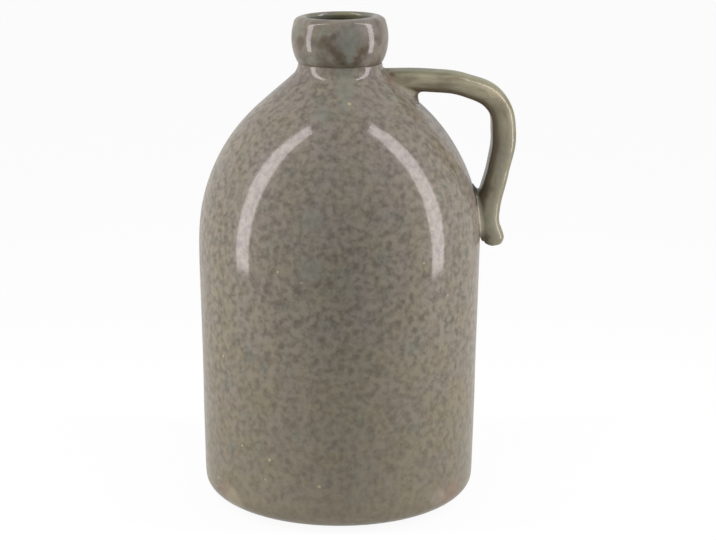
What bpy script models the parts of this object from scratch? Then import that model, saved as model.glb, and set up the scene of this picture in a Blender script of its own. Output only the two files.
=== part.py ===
"""Ceramic jug: a round bottle with a domed shoulder, a rolled collar and one strap handle.

It is built from luted clay sections, in metres with +Z up. The origin is the centre of the flat
underside, on the jug's axis, and the handle stands towards +X.
"""

import math

import bmesh
import bpy

# Overall sizes
HEIGHT = 0.3113
BODY_RADIUS = 0.0900  # at the widest line, where the dome starts
FOOT_RADIUS = 0.0670  # flat underside, inside the rounded heel
NECK_RADIUS = 0.0265

# Body sections
WALL = 0.0063
FLOOR = 0.0110  # thickness of the base inside the wall
HEEL_HEIGHT = 0.0139
HEEL_TAPER = 0.0026  # how much narrower the wall is just above the heel
SHOULDER_HEIGHT = 0.1117  # from the widest line up to the top of the neck
CONE_RUN = 0.0272  # straight stretch between the dome and the neck fillet
NECK_FILLET = 0.0106
SEAM_DROP = 0.0200  # joint of wall and shoulder, below the widest line

# Rolled collar
COLLAR_HEIGHT = 0.0297
COLLAR_SWELL = 0.0040  # how far the barrel stands out past the neck
COLLAR_BELLY_DROP = 0.0139  # the barrel's widest line, below the rim
LIP_ROUND = 0.0041  # height of the rim's outer rounding
LIP_SPREAD = 0.0041  # from the bore out to the rim's highest line
LIP_DROP = 0.0060  # height of the rim's inner rounding
SEAM_INSET = 0.0006  # the collar's foot lies this far inside the neck

# Strap handle: its section, and its centre line from the neck to the tail
STRAP_THICKNESS = 0.0146
STRAP_WIDTH = 0.0270
STRAP_SQUARENESS = 2.7  # 2 is an ellipse, more is squarer
HANDLE_DROP = 0.0108  # level run of the strap, below the top of the neck
LEVEL_RUN = 0.0300  # length of the level run, from the neck
HANDLE_REACH = 0.0140  # outermost point, beyond the body
BEND = ((-0.79, 0.97), (0.50, 0.87), (1.00, 0.67), (0.78, 0.45))  # shares of the reach and of the rise
HANDLE_PRESS = 0.0052  # pressed-on stretch, beyond the body
PRESS_RISE = (0.19, 0.10)  # its ends, as shares of the rise
TAIL_BULGE = 0.0084  # tail at the height of the widest line, beyond the body
TAIL_FLICK = 0.0088  # tip of the tail, beyond the body
TAIL_DROP = 0.0045  # tip of the tail, below the widest line
TIP_SCALE = 0.62  # the tip's section against the strap's
ROOT_DEPTH = 0.0060  # how far inside the neck the centre line starts

# Joints between the clay sections
GAP = 0.0003
LAP = 0.0060  # height of the half-lap between wall and shoulder
REGISTER = 0.0020  # step of the base that locates the wall
SPIGOT = 0.0080  # stretch of neck inside the collar
LUTING = 0.0022  # clay fillet round each end of the handle: its width and its height

# Facets
TURN_STEPS = 60
DOME_SEGMENTS = 10
SMALL_ARC_SEGMENTS = 5
BARREL_SEGMENTS = 8
STRAP_SEGMENTS = 20
PATH_RESOLUTION = 6
MERGE = 0.00001

# Sizes that follow
NECK_TOP = HEIGHT - COLLAR_HEIGHT
DOME_FOOT = NECK_TOP - SHOULDER_HEIGHT
SEAM = DOME_FOOT - SEAM_DROP
BORE_RADIUS = NECK_RADIUS - WALL
SPIGOT_RADIUS = NECK_RADIUS - WALL / 2
SPIGOT_TOP = NECK_TOP + SPIGOT
HEEL_RADIUS = BODY_RADIUS - HEEL_TAPER
LEDGE = FLOOR - REGISTER
HANDLE_LEVEL = NECK_TOP - HANDLE_DROP

# Colours of the glaze and the bare clay, and how they shine
GLAZE = (0.16, 0.15, 0.12)
HANDLE_GLAZE = (0.23, 0.21, 0.14)
GLAZE_ROUGHNESS = 0.25
BARE_CLAY = (0.42, 0.36, 0.26)
CLAY_ROUGHNESS = 0.8


def clear_scene():
    """Remove every object of the scene."""
    for obj in list(bpy.data.objects):
        bpy.data.objects.remove(obj, do_unlink=True)


def new_collection(name):
    """A collection in the scene."""
    collection = bpy.data.collections.new(name)
    bpy.context.scene.collection.children.link(collection)
    return collection


def glaze_material(name, colour, roughness):
    """A Principled material of one colour."""
    material = bpy.data.materials.new(name)
    material.use_nodes = True
    shader = material.node_tree.nodes["Principled BSDF"]
    shader.inputs["Base Color"].default_value = (*colour, 1.0)
    shader.inputs["Roughness"].default_value = roughness
    shader.inputs["Metallic"].default_value = 0.0
    return material


def arc(centre, radii, start, end, segments):
    """Points of an elliptical arc as (radius, height), from the start angle to the end angle."""
    angles = [start + (end - start) * i / segments for i in range(segments + 1)]
    return [(centre[0] + radii[0] * math.cos(a), centre[1] + radii[1] * math.sin(a)) for a in angles]


def dome_and_cone():
    """Radius of the dome's arc and slope of the cone that runs from the dome into the neck fillet."""
    span = BODY_RADIUS - NECK_RADIUS
    reach = (SHOULDER_HEIGHT**2 - CONE_RUN**2 - span**2) / (2 * span)
    slope = math.atan2(SHOULDER_HEIGHT, reach) - math.atan2(CONE_RUN, reach + span)
    return reach + span - NECK_FILLET, slope


def wall_radius(height):
    """Outer radius of the tapered wall."""
    taper = HEEL_TAPER / (DOME_FOOT - HEEL_HEIGHT)
    return BODY_RADIUS - taper * (DOME_FOOT - height)


def heel_arc(high, low):
    """Outline of the rounded heel, from one height on it down to another."""
    start, end = (math.asin(height / HEEL_HEIGHT - 1) for height in (high, low))
    radii = (HEEL_RADIUS - FOOT_RADIUS, HEEL_HEIGHT)
    return arc((FOOT_RADIUS, HEEL_HEIGHT), radii, start, end, SMALL_ARC_SEGMENTS)


def shoulder_side(grow, low):
    """Outline of the neck, cone, dome and wall down to a height, moved outwards by grow."""
    dome_radius, slope = dome_and_cone()
    fillet = NECK_FILLET - grow
    dome = dome_radius + grow
    neck_centre = (NECK_RADIUS + NECK_FILLET, NECK_TOP)
    dome_centre = (BODY_RADIUS - dome_radius, DOME_FOOT)
    points = arc(neck_centre, (fillet, fillet), math.pi, math.pi + slope, SMALL_ARC_SEGMENTS)
    points += arc(dome_centre, (dome, dome), slope, 0.0, DOME_SEGMENTS)
    return points + [(wall_radius(low) + grow, low)]


def turned(name, outline, closed, collection):
    """A solid turned about the axis; its outline runs down the outer side, top to bottom."""
    mesh = bpy.data.meshes.new(name)
    count = len(outline)
    edges = [(i, i + 1) for i in range(count - 1)]
    if closed:
        edges.append((count - 1, 0))
    mesh.from_pydata([(r, 0.0, z) for r, z in outline], edges, [])
    obj = bpy.data.objects.new(name, mesh)
    collection.objects.link(obj)
    screw = obj.modifiers.new("Turn", "SCREW")
    screw.angle = math.tau
    screw.steps = TURN_STEPS
    screw.render_steps = TURN_STEPS
    screw.use_merge_vertices = True
    screw.merge_threshold = MERGE
    screw.use_smooth_shade = True
    return obj


def make_base(collection):
    """Floor disc with the rounded heel; a step inside its ledge locates the wall."""
    step_radius = wall_radius(LEDGE) - WALL - GAP
    outline = [(0.0, FLOOR), (step_radius, FLOOR), (step_radius, LEDGE)]
    outline += heel_arc(LEDGE, 0.0)
    outline.append((0.0, 0.0))
    return turned("base", outline, False, collection)


def make_wall(collection):
    """Tapered cylinder from the base's ledge to the shoulder joint, rebated inside its top edge."""
    foot = LEDGE + GAP
    rebate_radius = wall_radius(SEAM) - WALL / 2 + GAP / 2
    outline = [(rebate_radius, SEAM), (wall_radius(SEAM), SEAM)]
    outline += heel_arc(HEEL_HEIGHT, foot)
    outline += [(wall_radius(foot) - WALL, foot), (wall_radius(SEAM - LAP) - WALL, SEAM - LAP)]
    outline.append((rebate_radius, SEAM - LAP))
    return turned("wall", outline, True, collection)


def make_shoulder(collection):
    """Dome and neck, with a skirt inside the wall's rebate and a spigot inside the collar."""
    skirt_radius = wall_radius(SEAM) - WALL / 2 - GAP / 2
    skirt_foot = SEAM - LAP + GAP
    outline = [(BORE_RADIUS, SPIGOT_TOP), (SPIGOT_RADIUS, SPIGOT_TOP), (SPIGOT_RADIUS, NECK_TOP)]
    outline += shoulder_side(0.0, SEAM + GAP)
    outline += [(skirt_radius, SEAM + GAP), (skirt_radius, skirt_foot)]
    outline += reversed(shoulder_side(-WALL, skirt_foot))
    return turned("shoulder", outline, True, collection)


def make_collar(collection):
    """Barrel-shaped ring with a rounded rim, seated over the neck's spigot."""
    foot = NECK_TOP + GAP
    belly = HEIGHT - COLLAR_BELLY_DROP
    belly_radius = NECK_RADIUS + COLLAR_SWELL
    swell = COLLAR_SWELL + SEAM_INSET
    barrel = ((belly - foot) ** 2 + swell**2) / (2 * swell)
    rim_angle = math.asin((COLLAR_BELLY_DROP - LIP_ROUND) / barrel)
    foot_angle = math.asin((foot - belly) / barrel)
    side = arc((belly_radius - barrel, belly), (barrel, barrel), rim_angle, foot_angle, BARREL_SEGMENTS)
    crest = BORE_RADIUS + LIP_SPREAD
    outer_round = (side[0][0] - crest, LIP_ROUND)
    inner_round = (LIP_SPREAD, LIP_DROP)
    outline = arc((crest, HEIGHT - LIP_ROUND), outer_round, math.pi / 2, 0.0, SMALL_ARC_SEGMENTS)
    outline += side[1:]
    outline += [(SPIGOT_RADIUS + GAP, foot), (SPIGOT_RADIUS + GAP, SPIGOT_TOP + GAP)]
    outline.append((BORE_RADIUS, SPIGOT_TOP + GAP))
    rim = arc((crest, HEIGHT - LIP_DROP), inner_round, math.pi, math.pi / 2, SMALL_ARC_SEGMENTS)
    return turned("collar", outline + rim[:-1], True, collection)


def handle_points():
    """Centre line of the strap as (x, z, scale), from inside the neck to the tip of the tail."""
    rise = HANDLE_LEVEL - DOME_FOOT
    stations = [(NECK_RADIUS - ROOT_DEPTH, HANDLE_LEVEL), (NECK_RADIUS + LEVEL_RUN, HANDLE_LEVEL)]
    stations += [(BODY_RADIUS + out * HANDLE_REACH, DOME_FOOT + up * rise) for out, up in BEND]
    stations += [(BODY_RADIUS + HANDLE_PRESS, DOME_FOOT + up * rise) for up in PRESS_RISE]
    stations.append((BODY_RADIUS + TAIL_BULGE, DOME_FOOT))
    tip = (BODY_RADIUS + TAIL_FLICK, DOME_FOOT - TAIL_DROP, TIP_SCALE)
    return [(x, z, 1.0) for x, z in stations] + [tip]


def strap_section(grow, guides):
    """Closed outline of the strap, squarer than an ellipse; its width lies across the jug."""
    half_sizes = (STRAP_WIDTH / 2 + grow, STRAP_THICKNESS / 2 + grow)
    curve = bpy.data.curves.new("strap_section", "CURVE")
    curve.dimensions = "2D"
    spline = curve.splines.new("POLY")
    spline.points.add(STRAP_SEGMENTS - 1)
    spline.use_cyclic_u = True
    for i, point in enumerate(spline.points):
        angle = math.tau * i / STRAP_SEGMENTS
        parts = (math.cos(angle), math.sin(angle))
        x, y = (s * math.copysign(abs(p) ** (2 / STRAP_SQUARENESS), p) for s, p in zip(half_sizes, parts))
        point.co = (x, y, 0.0, 1.0)
    obj = bpy.data.objects.new("strap_section", curve)
    guides.objects.link(obj)
    return obj


def strap(name, grow, collection, guides):
    """Mesh of the strap swept along the handle's centre line, its section grown on all sides."""
    section = strap_section(grow, guides)
    curve = bpy.data.curves.new(name, "CURVE")
    curve.dimensions = "3D"
    curve.resolution_u = PATH_RESOLUTION
    curve.bevel_mode = "OBJECT"
    curve.bevel_object = section
    curve.use_fill_caps = True
    stations = handle_points()
    spline = curve.splines.new("BEZIER")
    spline.bezier_points.add(len(stations) - 1)
    for point, (x, z, scale) in zip(spline.bezier_points, stations):
        point.co = (x, 0.0, z)
        point.radius = scale
        point.handle_left_type = "AUTO"
        point.handle_right_type = "AUTO"
    sweep = bpy.data.objects.new(name + "_sweep", curve)
    guides.objects.link(sweep)
    bpy.context.view_layer.update()
    graph = bpy.context.evaluated_depsgraph_get()
    mesh = bpy.data.meshes.new_from_object(sweep.evaluated_get(graph))
    mesh.name = name
    bpy.data.objects.remove(sweep, do_unlink=True)
    bpy.data.objects.remove(section, do_unlink=True)
    shell = bmesh.new()
    shell.from_mesh(mesh)
    bmesh.ops.remove_doubles(shell, verts=shell.verts, dist=MERGE)
    bmesh.ops.recalc_face_normals(shell, faces=shell.faces)
    shell.to_mesh(mesh)
    shell.free()
    mesh.shade_smooth()
    obj = bpy.data.objects.new(name, mesh)
    collection.objects.link(obj)
    return obj


def body_space(name, grow, cutters):
    """Helper solid of the shoulder and wall, filled in and grown, for shaping what sits on them."""
    outline = [(0.0, SPIGOT_TOP), (NECK_RADIUS + grow, SPIGOT_TOP)]
    outline += shoulder_side(grow, SEAM)
    outline.append((0.0, SEAM))
    return turned(name, outline, False, cutters)


def cut(obj, operation, cutter):
    """Shape an object with a helper solid."""
    modifier = obj.modifiers.new(cutter.name, "BOOLEAN")
    modifier.operation = operation
    modifier.object = cutter
    modifier.solver = "EXACT"


def slab(name, low, high, cutters):
    """Helper box wide enough to hold one end of the handle, between two heights."""
    size = 4 * BODY_RADIUS
    mesh = bpy.data.meshes.new(name)
    box = bmesh.new()
    bmesh.ops.create_cube(box, size=1.0)
    bmesh.ops.scale(box, verts=box.verts, vec=(size, size, high - low))
    bmesh.ops.translate(box, verts=box.verts, vec=(0.0, 0.0, (low + high) / 2))
    box.to_mesh(mesh)
    box.free()
    obj = bpy.data.objects.new(name, mesh)
    cutters.objects.link(obj)
    return obj


def make_handle(parts, cutters):
    """Strap handle, cut to the body, and a fillet of luting clay round each of its ends."""
    middle = (DOME_FOOT + HANDLE_LEVEL) / 2
    body = body_space("body_space", GAP, cutters)
    fillet_zone = body_space("fillet_zone", LUTING, cutters)
    strap_space = strap("strap_space", GAP, cutters, cutters)
    ends = {
        "upper_luting": slab("upper_zone", middle, HEIGHT, cutters),
        "lower_luting": slab("lower_zone", 0.0, middle, cutters),
    }
    handle = strap("handle", 0.0, parts, cutters)
    cut(handle, "DIFFERENCE", body)
    made = [handle]
    for name, zone in ends.items():
        fillet = strap(name, LUTING, parts, cutters)
        cut(fillet, "DIFFERENCE", body)
        cut(fillet, "INTERSECT", zone)
        cut(fillet, "INTERSECT", fillet_zone)
        cut(fillet, "DIFFERENCE", strap_space)
        made.append(fillet)
    return made


def hide_helpers(cutters):
    """Keep the helper solids out of renders."""
    for obj in cutters.objects:
        obj.hide_render = True
        obj.display_type = "WIRE"


def main():
    """Build the jug."""
    clear_scene()
    parts = new_collection("ceramic_jug")
    cutters = new_collection("helpers")
    pieces = [
        (make_base(parts), BARE_CLAY, CLAY_ROUGHNESS),
        (make_wall(parts), GLAZE, GLAZE_ROUGHNESS),
        (make_shoulder(parts), GLAZE, GLAZE_ROUGHNESS),
        (make_collar(parts), GLAZE, GLAZE_ROUGHNESS),
    ]
    pieces += [(obj, HANDLE_GLAZE, GLAZE_ROUGHNESS) for obj in make_handle(parts, cutters)]
    for obj, colour, roughness in pieces:
        obj.data.materials.append(glaze_material(obj.name + "_glaze", colour, roughness))
    hide_helpers(cutters)


if __name__ == "__main__":
    main()
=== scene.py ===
"""Looks of a glazed ceramic jug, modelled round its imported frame.

The jug stands on the origin with +Z up, its handle is towards +X, and sizes are in metres. Four pieces
stand for the frame's solids: the thrown body, the bare clay foot, the rolled collar and the strap handle.
"""

import math

import bpy
from mathutils import Matrix, Vector
from mathutils.geometry import intersect_point_line


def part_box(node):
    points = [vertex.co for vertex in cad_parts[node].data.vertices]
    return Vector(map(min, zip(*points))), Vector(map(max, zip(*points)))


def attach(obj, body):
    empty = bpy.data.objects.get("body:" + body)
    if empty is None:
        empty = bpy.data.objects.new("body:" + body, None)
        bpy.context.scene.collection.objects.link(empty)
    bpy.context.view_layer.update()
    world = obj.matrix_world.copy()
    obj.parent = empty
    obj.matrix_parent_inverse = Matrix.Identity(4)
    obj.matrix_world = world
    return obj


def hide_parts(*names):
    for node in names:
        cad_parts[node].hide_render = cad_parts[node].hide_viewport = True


bl_info = {
    "name": "Glazed Jug",
    "version": (1, 0, 0),
    "blender": (4, 5, 0),
    "location": "View3D > Sidebar > Jug",
    "description": "Models a glazed ceramic jug with a rolled collar and a strap handle",
    "category": "Add Mesh",
}

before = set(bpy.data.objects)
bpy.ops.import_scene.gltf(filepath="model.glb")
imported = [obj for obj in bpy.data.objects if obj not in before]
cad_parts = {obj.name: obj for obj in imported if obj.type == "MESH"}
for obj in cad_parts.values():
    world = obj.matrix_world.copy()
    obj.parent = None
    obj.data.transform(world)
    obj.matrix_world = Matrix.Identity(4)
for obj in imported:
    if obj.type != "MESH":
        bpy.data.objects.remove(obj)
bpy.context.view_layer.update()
SHOULDER_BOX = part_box("shoulder")
COLLAR_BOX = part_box("collar")
BASE_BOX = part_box("base")
STRAP_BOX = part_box("handle")

BODY = "root"
QUARTER = math.pi / 2

# Mesh resolution
RING_VERTICES = 96
HEEL_STEPS = 6
WALL_STEPS = 13
DOME_STEPS = 9
NECK_STEPS = 6
LIP_STEPS = 6
BARREL_STEPS = 9
EDGE_STEPS = 3
BORE_STEPS = 7
CORNER_STEPS = 5
PATH_STEPS = 16
MERGE_DISTANCE = 0.00001

# Turned pieces: how far the collar's foot lies below the neck's top, in seam roundings, the foot's rounded
# edge in glaze lines and its depth in edges, and the upward share of a normal that makes a face level
SEAM_DEPTH = 1.6
FOOT_EDGE = 2
FOOT_DEPTH = 4
LEVEL_FACE = 0.7

# Strap's centre line: the scale of its level run, the bend as (share of the reach beyond the body, share of
# the rise to the level run, scale), the pressed-on stretch as shares of the rise, and the tail as (share of
# its flick and drop, scale)
LEVEL_SCALE = 0.90
BEND_STATIONS = ((-0.79, 0.97, 0.90), (0.61, 0.864, 1.0), (0.96, 0.67, 1.05), (0.745, 0.45, 0.95))
PRESS_RISES = (0.19, 0.10)
TAIL_STATIONS = ((0.0, 1.0), (0.70, 0.78), (0.92, 0.68), (1.0, 0.52))

# Clay fillets: how far a face may lean over the body and still be filled, in the loop and at the sides, the
# tilt below which a face lies flat on the body and stays as it is, and the depth, in root depths, below which
# nothing is filled
LOOP_LEAN = 0.95
SIDE_LEAN = 0.30
FLAT_FACE = 0.4
UNFILLED_DEPTH = 2

# Clear coat of the glazes, the gloss and roughness under it, and what dullness adds and takes away
COAT_IOR = 2.5
COAT_WEIGHT = 0.130
COAT_ROUGHNESS = 0.09
BASE_GLOSS = 0.06
BASE_ROUGHNESS = 0.3
DULL_ROUGHNESS = 0.3
DULL_COAT_LOSS = 0.9

# Sizes and strengths of the flecks and blotches on each piece
BODY_FLECK = 0.0040
BODY_FLECK_STRENGTH = 0.65
COLLAR_FLECK = 0.0110
COLLAR_FLECK_STRENGTH = 0.60
COLLAR_GRAIN = 0.32
INNER_FLECK = 0.0110
HANDLE_BLOTCH = 0.0090
HANDLE_FLECK_STRENGTH = 0.22

# Layers of the mottle as (share of the fleck density, detail, roughness, shift), and the range of noise over
# which each sets in
FLECK_LAYER = (1.0, 4.0, 0.57, 0.0)
CLOUD_LAYER = (0.42, 2.0, 0.5, 3.1)
PATCH_LAYER = (0.30, 3.0, 0.6, 7.7)
DRIFT_LAYER = (0.22, 3.0, 0.6, 11.3)
LAYER_DISTORTION = 0.2
FLECK_RANGE = (0.67, 0.27)
PATCH_RANGE = (0.55, 0.72)
DRIFT_RANGE = (0.34, 0.66)

# Round cells mixed into the flecks: their density against the flecks', and their share
CELL_DENSITY = 0.75
CELL_SHARE = 0.14

# Mean of the fleck mask, which stays the same while its contrast rises between two heights
FLECK_MEAN = 0.38
FLECK_RISE = (0.040, 0.140)
FLECK_CONTRAST = (0.70, 1.02)

# Ground of the mottle: the heights between which it turns olive, how far, and the strength of cool patches
OLIVE_FADE = (0.230, 0.030)
OLIVE_SHARE = 0.5
PATCH_STRENGTH = 0.7

# Surface of the glaze: stretch of the noise that gives throwing rings, their share, the fineness of the skin,
# how far the surface is lifted, and how much the handle's streaks add to it
RING_STRETCH = (14.0, 14.0, 60.0)
RING_SHARE = 0.75
SKIN_FINENESS = 150.0
GLAZE_LIFT = 0.0005
HANDLE_LIFT = 0.0004
STREAK_RELIEF = 0.3

# Pinholes: their grid and size, the random value above which a cell has one, and the softness of its edge
PINHOLES = {"Spacing": 0.018, "Radius": 0.0010}
PINHOLE_CHANCE = 0.62
PINHOLE_EDGE = (1.0, 0.4)

# Edges of stains and runs: fineness of their noise, how far it moves them, and where they fade
STAIN_FINENESS = 260.0
STAIN_WANDER = 0.9
STAIN_EDGE = (1.0, 0.35)
RUN_FINENESS = 240.0
RUN_WAVER = 2.2
RUN_SIDES = (1.2, 0.1)
RUN_END_WAVER = 0.7
RUN_TOP = (1.25, 0.65)
RUN_FOOT = (-0.25, 0.20)

# Heel: the heights between which its thin glaze ends, how ragged that line is, the clouds that toast it and
# how much, and what is left of the flecks
HEEL_FADE = (0.009, 0.032)
HEEL_RAGGED = 0.05
HEEL_TOAST = ((0.52, 0.70), 0.4)
HEEL_FLECKS = 0.65

# Mouth: the middle and half width of its green stretch, paler partly as painted light, the depths below the
# rim between which painted shade darkens it, the share of the lip that it covers, the height over which it
# starts, and a margin on the width of the bore
LINER_MIDDLE = 0.004
LINER_SPAN = (0.013, 0.006)
LINER_SHADE_DEPTHS = (0.0038, 0.0054)
LINER_LIP = 0.7
LINER_START = 0.001
BORE_MARGIN = 0.0005

# Brown line along the collar's seam: its height in seam roundings, and its strength
SEAM_REACH = 4
SEAM_STRENGTH = 0.6

# Handle: the point round which it bends, the fineness of its streaks across and along it, and the heights
# between which it turns yellower and lighter, the lightness partly painted light
STRAP_BEND = (0.070, 0.0, 0.238)
STREAK_ACROSS = 230.0
STREAK_ALONG = 55.0
STRAW_RISE = (0.236, 0.262)

# Handle's colours, each as the range over which it sets in and its strength: streaks, clouds and the inner
# edge, for the outer edge its range, and the clouds, share and least strength that make it uneven, and the
# strength of cool patches
OLIVE_STREAKS = ((0.64, 0.34), 0.7)
BROWN_STREAKS = ((0.44, 0.26), 0.25)
BROWN_CLOUDS = ((0.52, 0.30), 0.35)
# Brown along the inner edge, partly painted shade of the loop's inside
INNER_EDGE = ((-0.10, -0.75), 0.75)
# Darker green on the outer edge, partly painted shade
OUTER_EDGE = (0.60, 0.90)
OUTER_CLOUDS = (0.70, 0.25)
OUTER_SHARE = 0.4
OUTER_LEAST = 0.45
HANDLE_PATCHES = 0.5

# Ends of the handle: the heights that part them from the rest, the edge of the body's glaze on the upper one
# with its raggedness and its pale ridge, the dull filled corner, and the pale rim of the lower one; ridge and
# rim are thin glaze with a painted highlight
UPPER_END = (0.240, 0.250)
LOWER_END = (0.202, 0.196)
ROOT_RAGGED = 0.008
ROOT_EDGE = (0.0020, -0.0020)
ROOT_RIDGE = (0.0016, 0.0003)
ROOT_RIDGE_STRENGTH = 0.14
ROOT_CORNER = (0.0065, 0.0030)
TAIL_RIM = (0.0013, 0.0006)
TAIL_RIM_STRENGTH = 0.75

# Dullness: share of the flecks on each piece, and of the handle's outer edge
BODY_DULL = 0.10
COLLAR_DULL = 0.15
INNER_DULL = 0.5
OUTER_DULL = 0.55

# Bare clay: fineness of the grog, the stains and the turned rings, where stains and specks of grog set in,
# and the surface
GROG_FINENESS = 700.0
CLAY_STAIN_FINENESS = 45.0
CLAY_RINGS = {"Scale": 220.0, "Distortion": 1.5, "Detail": 2.0}
CLAY_STAINS = (0.35, 0.70)
CLAY_SPECKS = ((0.40, 0.30), 0.6)
CLAY_ROUGHNESS = 0.70
GROG_ROUGHNESS = 0.2
CLAY_LIFT = 0.0003

# Floor: its colour, and how much of it looks plain white
FLOOR_COLOUR = (0.95, 0.95, 0.95, 1.0)
FLOOR_WHITE = 0.93
WHITE = (1.0, 1.0, 1.0, 1.0)

# Marks in the glaze, and painted highlights on the heel. A stain or painted highlight has a centre, a reach,
# a strength and a colour; a run has a top and a foot, both as (x, 0, z), a width, a strength and a colour
MARK_SOCKETS = {"stain": ("Centre", "Reach"), "run": ("Top", "Foot", "Width")}
BODY_RUNS = (
    ((0.0033, 0.0, 0.286), (0.0030, 0.0, 0.260), 0.0065, 0.65, "teal"),
)
BODY_STAINS_AND_HIGHLIGHTS = (
    # Painted highlights on the heel's left and right, where the lamps shine on its rounding
    ((-0.0674, -0.0556, 0.0110), 0.012, 0.4, "straw"),
    ((-0.0720, -0.0480, 0.0150), 0.007, 0.3, "blush"),
    ((0.0715, -0.0503, 0.0130), 0.013, 0.5, "blush"),
    ((0.0634, -0.0602, 0.0149), 0.009, 0.20, "bare"),
    # Cool patches, a pink stain and pinholes
    ((-0.0107, -0.0486, 0.2566), 0.009, 0.5, "teal"),
    ((-0.0174, -0.0844, 0.1992), 0.009, 0.5, "teal"),
    ((-0.0172, -0.0883, 0.1694), 0.010, 0.4, "teal"),
    ((0.0305, -0.0140, 0.2741), 0.005, 0.4, "blush"),
    ((0.0057, -0.0427, 0.2624), 0.0015, 0.9, "cream"),
    ((-0.0430, -0.0767, 0.0453), 0.0014, 0.9, "cream"),
    ((-0.0457, -0.0748, 0.0316), 0.0013, 0.8, "cream"),
    ((-0.0120, -0.0868, 0.0314), 0.0014, 0.9, "cream"),
)
COLLAR_COOL_RUNS = (
    ((0.0054, 0.0, 0.310), (0.0056, 0.0, 0.280), 0.0085, 0.85, "teal"),
)
COLLAR_STAINS = (
    ((-0.0262, -0.0150, 0.3040), 0.0075, 0.7, "teal"),
    ((-0.0110, -0.0275, 0.3035), 0.0050, 0.7, "teal"),
    ((-0.0248, -0.0178, 0.2970), 0.0055, 0.7, "umber"),
    ((-0.0095, -0.0288, 0.2985), 0.0055, 0.7, "umber"),
    ((-0.0040, -0.0298, 0.3015), 0.0030, 0.6, "fleck"),
    ((0.0240, -0.0188, 0.2984), 0.0055, 0.6, "umber"),
    ((0.0170, -0.0240, 0.2945), 0.0030, 0.5, "blush"),
)
COLLAR_BROWN_RUNS = (
    ((-0.0075, 0.0, 0.299), (0.0030, 0.0, 0.283), 0.0050, 1.0, "umber"),
    ((0.0175, 0.0, 0.299), (0.0085, 0.0, 0.283), 0.0048, 1.0, "umber"),
)
HANDLE_STAINS = (
    ((0.0314, -0.0140, 0.2741), 0.0050, 0.5, "blush"),
    ((0.0325, -0.0110, 0.2765), 0.0025, 0.7, "umber"),
    ((0.0475, -0.0140, 0.2640), 0.0035, 0.80, "iron"),
    ((0.0490, -0.0095, 0.2620), 0.0040, 0.80, "umber"),
    ((0.0870, -0.0140, 0.2040), 0.0040, 1.0, "iron"),
    ((0.0915, -0.0140, 0.2035), 0.0070, 0.75, "umber"),
    ((0.0922, -0.0150, 0.1728), 0.0050, 0.6, "umber"),
)


def size_value(name, description, default):
    """A length that a user can change."""
    return bpy.props.FloatProperty(
        name=name, description=description, default=default, min=0.0, precision=5,
        subtype="DISTANCE", unit="LENGTH",
    )


def number_value(name, description, default, unit="NONE"):
    """A plain number that a user can change."""
    return bpy.props.FloatProperty(
        name=name, description=description, default=default, precision=3, unit=unit
    )


def angle_value(name, description, default):
    """An angle that a user can change, given in degrees."""
    return bpy.props.FloatProperty(
        name=name, description=description, default=math.radians(default), subtype="ANGLE", unit="ROTATION"
    )


def place_value(name, description, default):
    """A place that a user can change."""
    return bpy.props.FloatVectorProperty(
        name=name, description=description, default=default, size=3, subtype="TRANSLATION", unit="LENGTH"
    )


def colour_value(name, description, default):
    """A colour that a user can change."""
    return bpy.props.FloatVectorProperty(
        name=name, description=description, default=default, size=3, min=0.0, max=1.0, subtype="COLOR"
    )


class JugSizes(bpy.types.PropertyGroup):
    """Sizes of the turned pieces"""

    height: size_value("Height", "From the foot to the rim", COLLAR_BOX[1].z)
    body_radius: size_value("Body radius", "At the widest line, where the dome starts", SHOULDER_BOX[1].x)
    foot_radius: size_value("Foot radius", "Flat underside, inside the rounded heel", 0.0670)
    neck_radius: size_value("Neck radius", "Under the collar", 0.0265)
    wall: size_value("Wall", "Thickness of the thrown wall", 0.0063)
    floor: size_value("Floor", "Thickness of the floor", BASE_BOX[1].z)
    floor_round: size_value("Floor round", "Rounding between the floor and the wall, inside", 0.0080)
    heel_height: size_value("Heel height", "Height of the rounded heel", 0.0139)
    heel_taper: size_value("Heel taper", "How much narrower the wall is above the heel", 0.0026)
    glaze_line: size_value("Glaze line", "Height at which the glaze stops above the foot", 0.0004)
    neck_top: size_value("Neck top", "Height at which the collar sits on the neck", COLLAR_BOX[0].z)
    shoulder_height: size_value("Shoulder height", "From the widest line to the top of the neck", 0.1117)
    cone_run: size_value("Cone run", "Straight stretch between the dome and the neck", 0.0272)
    neck_fillet: size_value("Neck fillet", "Hollow curve under the collar", 0.0106)
    seam_round: size_value("Seam round", "Rounded edges of the groove under the collar", 0.0005)
    seam_inset: size_value("Seam inset", "How far the collar's foot lies inside the neck", 0.0004)
    belly_drop: size_value("Belly drop", "The collar's widest line, below the rim", 0.0139)
    lip_round: size_value("Lip round", "Height of the rim's outer rounding", 0.0041)
    mouth_radius: size_value("Mouth radius", "Narrowest line, just inside the rim", 0.0203)
    lip_spread: size_value("Lip spread", "From the mouth to the rim's highest line", 0.0022)
    lip_drop: size_value("Lip drop", "Height of the rim's inner rounding", 0.0026)
    undercut: size_value("Undercut", "How far the bore widens below the mouth", 0.0032)
    collar_lean: angle_value("Collar lean", "How far the collar is tipped away from the handle", 1.0)
    unevenness: size_value("Unevenness", "How far the thrown wall strays from round", 0.0006)
    unevenness_span: size_value("Unevenness span", "Width of a swell in the thrown wall", 0.0450)


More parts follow.
